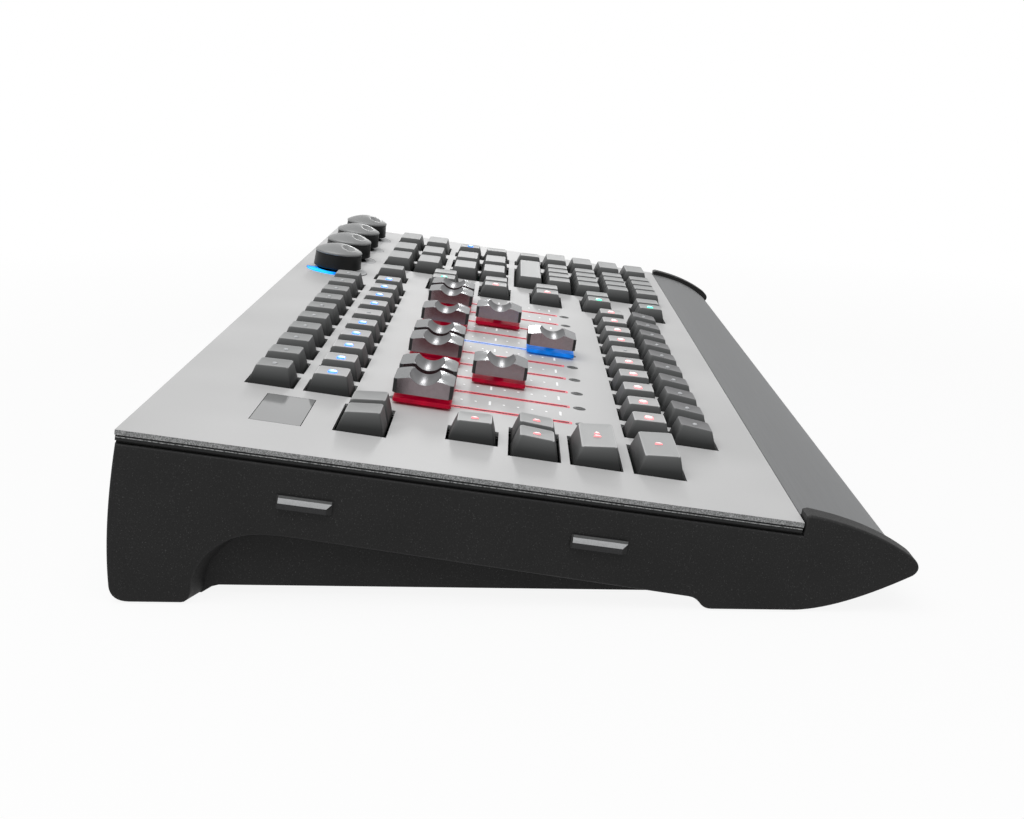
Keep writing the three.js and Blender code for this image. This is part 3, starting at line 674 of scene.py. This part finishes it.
def lenses_of(node, xs):
    """(finish, name, [(x, kind of lens)]) of a node's light pipes, whose caps are at xs."""
    if node in ("keys_row_b", "keys_row_c"):
        lit = BLUE_LENS if node == "keys_row_b" else PINK_LENS
        on = [(x, OVAL) for x in xs[:DARK_KEY] + xs[DARK_KEY + 1:]]
        return [(lit, "lit", on), (UNLIT, "dark", [(xs[DARK_KEY], DOT)])]
    if node in ("keys_row_a", "keys_row_d"):
        return [(UNLIT, "dark", [(x, DOT) for x in xs])]
    if node.startswith("keys_pair"):
        lit = PINK_LENS if node in ("keys_pair_2", "keys_pair_3") else GREEN_LENS
        return [(lit, "lit", [(xs[0], OVAL)])]
    if node == "key_left_d":
        return [(PINK_LENS, "lit", [(xs[0] + 2.2, DOT), (xs[0] - 1.8, BAR)])]
    if node in ("key_left_b", "key_left_c1", "key_left_c2", "key_left_e"):
        return [(PINK_LENS, "lit", [(xs[0], BAR)])]
    if node == "keys_pad_3":
        return [(BLUE_LENS, "lit", [(xs[-1], OVAL)])]
    return []


def key_pieces(node):
    """The caps and light pipes of one key or line of keys."""
    s = distance_down(node, KEY_BASE)
    caps = caps_on(node)
    tilt = TILTS.get(node, USUAL_TILT)
    top = KEY_TOPS[TOPS.get(node, USUAL_TOP)]
    points = [(x, s, 0, CAP_UNITS.index(units), tilt) for x, units in caps]
    piece(node + "_caps", lay(node + "_caps", points, CAPS, top), node, top, replaces=[node])
    dished = KEY_TOP - dish(0, 1, caps[0][1])
    for finish, name, places in lenses_of(node, [x for x, units in caps]):
        at = [(x, s, dished, kind, 0) for x, kind in places]
        label = f"{node}_{name}_lens"
        piece(label, lay(label, at, LENSES, finish), node, finish)


# ---- faders ----
CAP_HALF = 12.2  # half a cap's length along the slot
CAP_CUT = 10.7  # the same at its sides, where its corners are cut
CAP_ACROSS = 10.2  # half its width
CAP_CORNER = 8.6  # from its middle line to where the cut begins
SCOOP_ACROSS = 7.4  # from its middle line to where the scoop is drawn finely
SCOOP_STEPS = 12
DISH_STEPS = 24
CAP_LOW = 4.7  # n of its underside
CAP_END = 10.3  # n of the upper edge of its ends
CAP_MIDDLE = 7.5  # n halfway up its ends
CAP_LIP = Vector((6.3, 11.6))  # s and n of the lips before and behind the finger dish
DISH = Vector((21.6, 8, 8))  # half sizes of the oval that the dish is cut with
DISH_N = 16.3  # n of that oval's middle
LEVER = Vector((0.45, 2.2))  # half a lever's thickness and width
LEVER_N = (-10, 5.2)
GLOW_BAR = Vector((9.8, 11.9))  # half sizes of the glowing bar under a cap, painted light for the slot's glow there
GLOW_BAR_AHEAD = 0.2  # how far its middle is in front of the cap's
# The glowing bar's rings, painted glow, as (n, how far in).
GLOW_BAR_LEVELS = [(1.0, 0.2), (1.2, 0), (2.5, 0), (2.7, 0.2)]
# Section of a slot's lit rim, as (how far out, n).
RIM_SECTION = [(0.05, -0.5), (0.05, 0.12), (0.55, 0.16), (0.6, 0.02)]
SCALE_AWAY = 13.2  # from the middle of a slot to its scale
SCALE_STEPS = 10
LONG_EVERY = 5  # every fifth mark is long
MARK_HALVES = (0.75, 3.2)  # half the width of a short and of a long mark
SCREW_AWAY = 38.6  # from the middle of a slot to a fader's fixing screw
# A screw head's rings, as (radius, n, sides): a low round head with a hexagon socket.
SCREW_LEVELS = [(2.8, -0.05, 24), (2.8, 0.06, 24), (2.5, 0.18, 24), (1.3, 0.22, 6), (1.2, 0.04, 6)]
SCREW_POINTS = 24


def fader_name(index):
    """The CAD node of one fader cap, counted from 0."""
    return f"fader_cap_{index + 1:02d}"


def dish_floor(across, along):
    """n of the oval's surface, or more than the cap's own height outside it."""
    inside = 1 - (across / DISH.x) ** 2 - (along / DISH.y) ** 2
    return DISH_N - DISH.z * math.sqrt(inside) if inside > 0 else DISH_N


def cap_outline(across, end):
    """Section of a fader cap as (s, n), cut off at s = end on both sides. The dish's edge is the
    place where its floor meets the lips."""
    reach = math.sqrt(1 - (across / DISH.x) ** 2)
    edge = math.sqrt(reach ** 2 - ((DISH_N - CAP_LIP.y) / DISH.z) ** 2) * DISH.y
    slope = (CAP_LIP.y - CAP_END) / (CAP_HALF - CAP_LIP.x)
    height = CAP_END + (CAP_HALF - end) * slope
    floor_line = [edge * math.cos(math.pi * i / DISH_STEPS) for i in range(DISH_STEPS + 1)]
    top = [Vector((s, min(dish_floor(across, s), CAP_LIP.y))) for s in floor_line]
    soft_edge = Vector((CAP_LIP.x + 0.4, CAP_LIP.y - 0.05))
    right = [Vector((end, CAP_LOW)), Vector((end, height)), soft_edge]
    left = [Vector((-p.x, p.y)) for p in reversed(right)]
    return right + top + left


def fader_cap_mesh(x, s):
    """Fader cap with cut corners and a polished finger dish that opens at both sides."""
    rings = []
    scoop = [SCOOP_ACROSS * (2 * i / SCOOP_STEPS - 1) for i in range(SCOOP_STEPS + 1)]
    for across in [-CAP_ACROSS, -CAP_CORNER] + scoop + [CAP_CORNER, CAP_ACROSS]:
        end = CAP_CUT if abs(across) == CAP_ACROSS else CAP_HALF
        rings.append([Vector((x + across, -(s + p.x), p.y)) for p in cap_outline(across, end)])
    mesh = shell("fader_cap", rings)
    for material in (CAP_SIDE, CAP_FACET, CAP_SCOOP, CAP_BLACK):
        mesh.materials.append(material)
    for face in mesh.polygons:
        face.material_index = cap_finish(face, s)
    return mesh


def cap_finish(face, s):
    """Which finish a face of a fader cap has: 0 side, 1 facet, 2 scoop or 3 end."""
    if abs(face.normal.x) > 0.9 or face.normal.z < -0.5:
        return 0
    under_lips = abs(face.center.y + s) < CAP_LIP.x and face.center.z < CAP_LIP.y - 0.02
    if under_lips and face.normal.z > 0.1:
        return 2
    return 1 if face.normal.z > 0.4 else 3


def fader_pieces(index):
    """Cap, lever and glowing bar of one fader. The bar is painted light: the slot's glow under the cap,
    drawn as a bar that rides with the cap.
    """
    node = fader_name(index)
    low, high = span(node)
    x = (low.x + high.x) / 2
    s = distance_down(node, CAP_MIDDLE)
    body = fader_cap_mesh(x, s)
    piece(node + "_body", body, node, CAP_SIDE, sharp=40, replaces=[node])
    lever = [rounded(LEVER.x, LEVER.y, 0.3, n, 2, (x, -s)) for n in LEVER_N]
    piece(node + "_lever", shell("lever", lever), node, CAP_BLACK)
    # Painted glow: the slot's light under the cap, drawn as a glowing bar.
    bar = [rounded(GLOW_BAR.x - t, GLOW_BAR.y - t, 0.8, n, 3, (x, -s - GLOW_BAR_AHEAD))
           for n, t in GLOW_BAR_LEVELS]
    glow = BLUE_GLOW if index == BLUE_FADER else RED_GLOW
    piece(node + "_light_bar", shell("painted_glow_bar", bar), node, glow)


def slot_middle(index):
    """(x, s) of the middle of one fader's slot."""
    node = fader_name(index)
    low, high = span(node)
    first = distance_down(node, CAP_MIDDLE) + JOINTS[node + "_slide"]["range_m"][0] / MM
    return (low.x + high.x) / 2, first + FADER_TRAVEL / 2


def slot_rim(index):
    """The lit rim round one fader's slot."""
    x, middle = slot_middle(index)
    half = FADER_TRAVEL / 2 + SLOT_OVER
    rings = [rounded(SLOT_HALF + out, half + out, 0.6, n, 2, (x, -middle)) for out, n in RIM_SECTION]
    glow = PALE_BLUE_GLOW if index == BLUE_FADER else SLOT_GLOW
    piece(f"slot_rim_{index + 1:02d}", shell("slot_rim", rings, loop=True), "desk", glow)


def scale_marks():
    """Printed dots beside every slot: eleven to a scale, the first, sixth and last longer."""
    prints = []
    for half in MARK_HALVES:
        prints.append(shell("dot", [rounded(half, 0.5, 0.3, n) for n in (-0.05, 0.04)]))
        mark(prints[-1], lean=lambda p: 0)
    points = []
    for index in range(FADERS):
        x, middle = slot_middle(index)
        for k in range(SCALE_STEPS + 1):
            s = middle + FADER_TRAVEL * (k / SCALE_STEPS - 0.5)
            points.append((x + SCALE_AWAY, s, 0, int(k % LONG_EVERY == 0), 0))
    marks = lay("scale_marks", points, shape_set("dot", prints), PRINT)
    piece("scale_marks", marks, "desk", PRINT)


def fader_screws():
    """Low screw heads with a hexagon socket, one past each end of every slot."""
    head = shell("screw_head", [
        [hexagon_or_round(r, n, sides, i / SCREW_POINTS) for i in range(SCREW_POINTS)]
        for r, n, sides in SCREW_LEVELS])
    mark(head, lean=lambda p: 0)
    points = []
    for index in range(FADERS):
        x, middle = slot_middle(index)
        points += [(x, middle + side * SCREW_AWAY, 0, 0, 0) for side in (-1, 1)]
    screws = lay("fader_screws", points, shape_set("screw", [head]), SCREW_STEEL)
    piece("fader_screws", screws, "desk", SCREW_STEEL)


def hexagon_or_round(r, n, sides, turn):
    """A point a share of a turn round a circle, or round a polygon whose flats are at radius r."""
    angle = 2 * math.pi * turn
    corner = math.pi / sides
    reach = r if sides > 6 else r / math.cos((angle + corner) % (2 * corner) - corner)
    return Vector((reach * math.cos(angle), reach * math.sin(angle), n))


# ---- encoders ----
ENCODERS = 4
TURN_STEPS = 64
# Profiles of a knob's skirt and of its top's lip, as (radius, n).
SKIRT = [(3, -11.5), (3, 2.3), (13.9, 2.3), (14.3, 2.6), (14.4, 3.0), (13.9, 10.2), (13.9, 10.7),
         (13.4, 10.9)]
TOP_LIP = [(13.6, 10.8), (14.0, 11.1), (14.2, 11.5), (14.1, 12.1)]
DOME = 13.8  # radius of the dome over the lip
DOME_N = 12.5  # n of its edge
DOME_RISE = 4.0
DOME_STEPS = 24
DIMPLE_AT = Vector((-4.5, -6))  # from the knob's middle
DIMPLE = 4.5  # radius of the finger dimple
DIMPLE_DEEP = 2.2
RING = (12, 17.8, 18.2, 18.4)  # radii of a ring's bore, shoulder, bevel and rim
RING_LOW = -0.4  # n of its underside
LIT_RING_TOP = 0.6  # n of the ring that is lit
UNLIT_RING_TOP = 0.04  # and of those that are not
LIT_AT = Vector((-16, 12))  # brightest place of the lit ring, from the knob's middle
LIT_REACH = 18


def turned(name, profile, centre, loop=False):
    """A solid of revolution about an upright axis, its profile (r, n) from bottom to top, or with
    loop a ring whose section is the profile."""
    angles = [2 * math.pi * i / TURN_STEPS for i in range(TURN_STEPS)]
    rings = [[Vector((centre.x + r * math.cos(a), centre.y + r * math.sin(a), n)) for a in angles]
             for r, n in profile]
    return shell(name, rings, loop)


def knob_pieces(index):
    """Skirt, turned top with a finger dimple, and the light ring of one encoder."""
    name = f"encoder_knob_{index + 1}"
    centre = (FACE.inverted() @ Vector(JOINTS[name + "_turn"]["pos_m"])).xy
    piece(name + "_skirt", turned("skirt", SKIRT, centre), name, KNOB_BLACK, replaces=[name])
    piece(name + "_top", knob_top(centre), name, KNOB_TOP, sharp=50)
    if index == 0:
        # The lit ring's glow is partly its own and partly painted light: the blue light spilling onto the
        # face beside the knob.
        piece("lit_ring", ring(centre, LIT_RING_TOP), "desk", RING_GLOW,
              replaces=["ring_light"])
    else:
        flush = ring(centre, UNLIT_RING_TOP)
        piece(f"unlit_ring_{index + 1}", flush, "desk", UNLIT_RING)


def ring(centre, top):
    """A flat ring round a knob, with a bevelled rim. Its rise falls away from its lit place."""
    bore, shoulder, bevel, rim = RING
    section = [(bore, RING_LOW), (rim, RING_LOW), (rim, top - 0.1), (bevel, top - 0.04),
               (shoulder, top), (bore, top)]
    mesh = turned("ring", section, centre, loop=True)
    mark(mesh, rise=lambda p: 1 - min((p.xy - centre - LIT_AT).length / LIT_REACH, 1))
    return mesh


def knob_top(centre):
    """Dome with a rolled lip and a round finger dimple near its edge."""
    profile = list(TOP_LIP)
    for k in range(DOME_STEPS + 1):
        out = 1 - k / (DOME_STEPS + 0.3)
        profile.append((DOME * out, DOME_N + DOME_RISE * (1 - (1 - k / DOME_STEPS) ** 2)))
    mesh = turned("knob_top", profile, centre)
    for v in mesh.vertices:
        away = (v.co.xy - centre - DIMPLE_AT).length / DIMPLE
        if away < 1:
            v.co.z -= DIMPLE_DEEP * (1 - away ** 2) ** 2
    return mesh


# ---- body ----
ROLL = 1.0  # radius of a cheek's outer edge
ROLL_STEPS = 4
# A cheek's rings after its rolled edge, as (draft, n of its top, how deep). The step behind the
# outer skin makes the shadow gap under the face.
CHEEK_RINGS = [(0.1, CHEEK_RIM, 1.9), (0.1, CHEEK_TOP, 1.95), (0.35, CHEEK_TOP, 4),
               (1, CHEEK_TOP, CHEEK_T)]
WEB_LAP = 0.4  # how far the web laps into the cheek
WEB_FOOT = SOLE_Z + 0.5
REST_T = 2.4  # thickness of the wrist rest


def cheek_outline(draft, top):
    """Side view (d, z) of a cheek whose top is at n = top. At draft 0 it is the outer face, and
    at 1 the arch is a little smaller."""
    step = 3 * draft
    drop = 1.6 * draft
    line = [on_side(0.2, top)]
    line += curve([line[-1], (-6.3, 28), (-5.5, 6)], 14)
    line += curve([line[-1], (-5.0, SOLE_Z), (1.6, SOLE_Z)], 8)
    line += [Vector((19.5 + step, SOLE_Z))]
    line += curve([line[-1], (23.2 + step, SOLE_Z), (23.4 + step, 8 - drop)], 6)
    line += curve([line[-1], (24.6 + step, 16 - drop), (34 + step, 26.3 - drop), (48, 26 - drop)], 18)
    line += curve([line[-1], (54, 25.8 - drop), (60, 24.9 - drop)], 4)
    line += [Vector((198.5, 5.0 - drop / 2))]
    line += curve([line[-1], (200.8, 4.6 - drop / 2), (202.6, 2)], 5)
    line += curve([line[-1], (204, SOLE_Z), (206.5, SOLE_Z)], 4)
    line += [Vector((236, SOLE_Z))]
    line += curve([line[-1], (252, 1), (277.2, 13.9)], 14)
    line += curve([line[-1], (281.2, 17), (276.4, 20.9)], 10)
    line += curve([line[-1], (262, 31.4), (239.6, 35.9)], 16)
    line += [on_side(FACE_DEPTH + 2 * GAP, 2.2), on_side(FACE_DEPTH + 2 * GAP, top)]
    return line


def side_ring(outline, side, deep):
    """Side-view points at a depth in from the outer face of one end, splayed as the end is."""
    ring = []
    for d, z in outline:
        reach = FACE_WIDTH / 2 - deep + SPLAY * (FACE_DEPTH - d)
        ring.append(Vector((side * reach, BACK_Y - d, z)))
    return ring


def cheek_pieces(label, side):
    """One end cheek with its rolled outer edge, and the web that closes its arch from inside."""
    outer = cheek_outline(0, CHEEK_RIM)
    rings = []
    for k in range(ROLL_STEPS + 1):
        a = math.pi / 2 * k / ROLL_STEPS
        rings.append(side_ring(inset(outer, ROLL * (1 - math.sin(a))), side, ROLL * (1 - math.cos(a))))
    for draft, top, deep in CHEEK_RINGS:
        rings.append(side_ring(cheek_outline(draft, top), side, deep))
    body = shell("cheek", rings)
    piece(f"{label}_cheek_shell", body, "desk", CHEEK_ABS, UPRIGHT, 40, [f"{label}_cheek"])
    web = [on_side(0.8, CHEEK_TOP), (-3, 38), (-4.2, 22), (-4.2, 8), (-3.4, 3), (-0.5, WEB_FOOT),
           (24.9, WEB_FOOT), (28.5, 3.2), (31, BELLY_Z), (187.3, BELLY_Z), (196.4, 2.4),
           (202.5, WEB_FOOT), (236, WEB_FOOT), (247, BELLY_Z), (247, 12), (232, 20),
           on_side(233, CHEEK_TOP)]
    web = [Vector(p) for p in web]
    rings = [side_ring(web, side, deep) for deep in (CHEEK_T - WEB_LAP, CHEEK_T + WEB_T)]
    piece(f"{label}_cheek_web", shell("web", rings), "desk", CHEEK_ABS, UPRIGHT)


BAR_TOP = -15.2  # n of a side bar's top edge
BAR_ENDS = {"rear": (56.6, 75.8), "front": (159.2, 179.2)}
# Section of a side bar, as (how far out, n).
BAR_SECTION = [(0, -20.15), (1.75, -19.8), (1.8, -17.75), (0.8, -16.1), (0.5, BAR_TOP), (0, BAR_TOP)]
SLANT_UNDER = 0.9  # a bar's last end slants from this far under its top
SLANT_MOST = 1.65
BIG_FACE = 10  # square millimetres: smaller faces are a bar's ends


def side_bar(label, side, end):
    """Long bar on a cheek: a bevel under a narrow top edge, over a dark flat face. Its faces are coloured
    by how far they turn up: the bevel pale grey as a painted highlight, the top edge dark grey as weaker
    painted light, and its small ends black as painted shade.
    """
    first, last = BAR_ENDS[end]
    along = ((first, 0.5, 0), (first + 0.6, 1, 0), (last - 0.1, 1, 1), (last, 0.1, 0))
    rings = []
    for s, share, slant in along:
        outline = []
        for out, n in BAR_SECTION:
            reach = FACE_WIDTH / 2 + GAP + out * share + SPLAY * (FACE_DEPTH - on_side(s, n).x)
            back = slant * min(max(BAR_TOP - SLANT_UNDER - n, 0), SLANT_MOST)
            outline.append(Vector((side * reach, back - s, n)))
        rings.append(outline)
    mesh = shell("side_bar", rings)
    for material in (BAR_PLASTIC, BAR_STRIP_PAINTED_LIGHT, BAR_BEVEL_HIGHLIGHT, PAD_RUBBER):
        mesh.materials.append(material)
    for face in mesh.polygons:
        # Faces that turn further up get lighter greys as painted light. The small ends take the black
        # rubber as painted shade.
        finish = sum(face.normal.z > level for level in (0.2, 0.42))
        face.material_index = finish if face.area > BIG_FACE else 3
    node = f"side_bar_{label}_{end}"
    piece(node + "_moulding", mesh, "desk", BAR_PLASTIC, replaces=[node])


def wrist_rest():
    """Curved wrist rest extruded between the cheeks."""
    outer = [on_side(FACE_DEPTH + GAP, 0)]
    outer += curve([outer[-1], (262, 29.4), (275.8, 17)], 20)
    outer += curve([outer[-1], (278.3, 14.6), (274.4, 12.4)], 8)
    outer += curve([outer[-1], (262, 5.6), (249, 3)], 8)
    inner = []
    for before, here, after in zip(outer[:1] + outer[:-1], outer, outer[1:] + outer[-1:]):
        along = (after - before).normalized()
        inner.append(here + Vector((along.y, -along.x)) * REST_T)
    section = outer + inner[::-1]
    rest = shell("rest", [side_ring(section, side, CHEEK_T + GAP) for side in (-1, 1)])
    piece("wrist_rest_skin", rest, "desk", REST_METAL, UPRIGHT, 40, ["wrist_rest"])


# ---- assembly ----
for node, material in {
    "face_plate": FACE_METAL, "blank_insert": SHINY_INSERT, "key_frame": HIGHLIGHTED_SHEET,
    "base_pan": BLACK_SHEET, "main_board": BOARD_MASK, "fader_rack": RACK_STEEL,
    "encoder_rack": RACK_STEEL,
}.items():
    dress(node, material)

for label, side in (("left", -1), ("right", 1)):
    cheek_pieces(label, side)
    for end in ("rear", "front"):
        side_bar(label, side, end)
        dress(f"foot_pad_{label}_{end}", PAD_RUBBER)

wrist_rest()

for node in frame["nodes"]:
    if node.startswith("key") and node != "key_frame":
        key_pieces(node)

for index in range(FADERS):
    fader_pieces(index)
    slot_rim(index)
scale_marks()
fader_screws()

for index in range(ENCODERS):
    knob_pieces(index)


# ---- studio, metres ----
FLOOR_REACH = 6.0
SHADOW_FROM = 0.3  # from here to the next value the floor's shadows fade
SHADOW_TO = 0.7
ROOM_LIGHT = 0.26
WHITE = linear("#ffffff")
# The camera's place, and what is ahead of it and up.
EYE = Vector((-0.72347, 0.00235, 0.1868))
AHEAD = Vector((0.96739, 0.00102, -0.25328))
UP = Vector((0.25319, 0.02324, 0.96714))


def looked_at(tree):
    """1 for what the eye sees straight, in a mirror or through glass, and 0 for light cast."""
    path = add(tree, "ShaderNodeLightPath").outputs
    mirrored = add(tree, "ShaderNodeMath", {"operation": "MAXIMUM"}, {
        0: path["Is Glossy Ray"], 1: path["Is Transmission Ray"]})
    return add(tree, "ShaderNodeMath", {"operation": "MAXIMUM"}, {0: path["Is Camera Ray"], 1: mirrored})


def white_floor_paint():
    """Matt white paint, plain white to the eye but for its shadows near the desk."""
    material = bpy.data.materials.new("matt_white_floor")
    material.use_nodes = True
    tree = material.node_tree
    tree.nodes.clear()
    place = add(tree, "ShaderNodeTexCoord").outputs["Object"]
    cloud = add(tree, "ShaderNodeTexNoise", inputs={"Vector": place, "Scale": 1 / (400 * MM), "Detail": 1})
    tone = add(tree, "ShaderNodeValToRGB", inputs={"Fac": cloud}, stops=spread("#d8d8d8", "#dcdcdc"))
    paint = add(tree, "ShaderNodeBsdfDiffuse", inputs={"Color": tone})
    away = add(tree, "ShaderNodeVectorMath", {"operation": "LENGTH"}, {0: place})
    share = add(tree, "ShaderNodeMapRange", inputs={
        "Value": away, "From Min": SHADOW_FROM, "From Max": SHADOW_TO, "To Min": 0.9, "To Max": 1.0})
    amount = add(tree, "ShaderNodeMath", {"operation": "MULTIPLY"}, {0: looked_at(tree), 1: share})
    white = add(tree, "ShaderNodeEmission", inputs={"Color": WHITE, "Strength": 1.0})
    mixed = add(tree, "ShaderNodeMixShader", inputs={0: amount, 1: paint, 2: white})
    add(tree, "ShaderNodeOutputMaterial", inputs={"Surface": mixed})
    return material


def floor():
    """A wide plain floor under the desk."""
    corners = [(x * FLOOR_REACH, y * FLOOR_REACH, 0) for x, y in ((-1, -1), (1, -1), (1, 1), (-1, 1))]
    mesh = bpy.data.meshes.new("floor")
    mesh.from_pydata(corners, [], [(0, 1, 2, 3)])
    mesh.materials.append(white_floor_paint())
    placed("floor", mesh)


def surroundings():
    """White to the eye, and an even grey room as light."""
    world = bpy.data.worlds.new("studio")
    bpy.context.scene.world = world
    world.use_nodes = True
    tree = world.node_tree
    tree.nodes.clear()
    room = add(tree, "ShaderNodeBackground", inputs={"Color": WHITE, "Strength": ROOM_LIGHT})
    white = add(tree, "ShaderNodeBackground", inputs={"Color": WHITE, "Strength": 1.0})
    mixed = add(tree, "ShaderNodeMixShader", inputs={0: looked_at(tree), 1: room, 2: white})
    add(tree, "ShaderNodeOutputWorld", inputs={"Surface": mixed})


def softbox(name, place, aim, size, power):
    """A rectangular lamp of a size in metres and a power in watts, aimed at a point."""
    data = bpy.data.lights.new(name, "AREA")
    data.shape = "RECTANGLE"
    data.size, data.size_y = size
    data.energy = power
    lamp = placed(name, data)
    lamp.location = place
    lamp.rotation_euler = (Vector(aim) - Vector(place)).to_track_quat("-Z", "Y").to_euler()


def camera():
    """Looks along the desk from beyond its left end, a little above the face."""
    data = bpy.data.cameras.new("camera")
    data.lens = 46.79
    data.sensor_width = 36
    data.clip_start = 0.01
    eye = placed("camera", data)
    turn = Matrix((AHEAD.cross(UP), UP, -AHEAD)).transposed().to_4x4()
    eye.matrix_world = Matrix.Translation(EYE) @ turn
    bpy.context.scene.camera = eye


floor()
surroundings()
softbox("overhead", (-0.7, 0.4, 2.0), (0, 0, 0), (2.8, 2.2), 54)
# A small lamp beyond the far end puts a round glint in each fader cap's dish.
softbox("far_low", (2.4, -0.04, 0.78), (0, 0, 0.05), (0.22, 0.4), 5.2)
camera()
bpy.context.scene.view_settings.view_transform = "Standard"
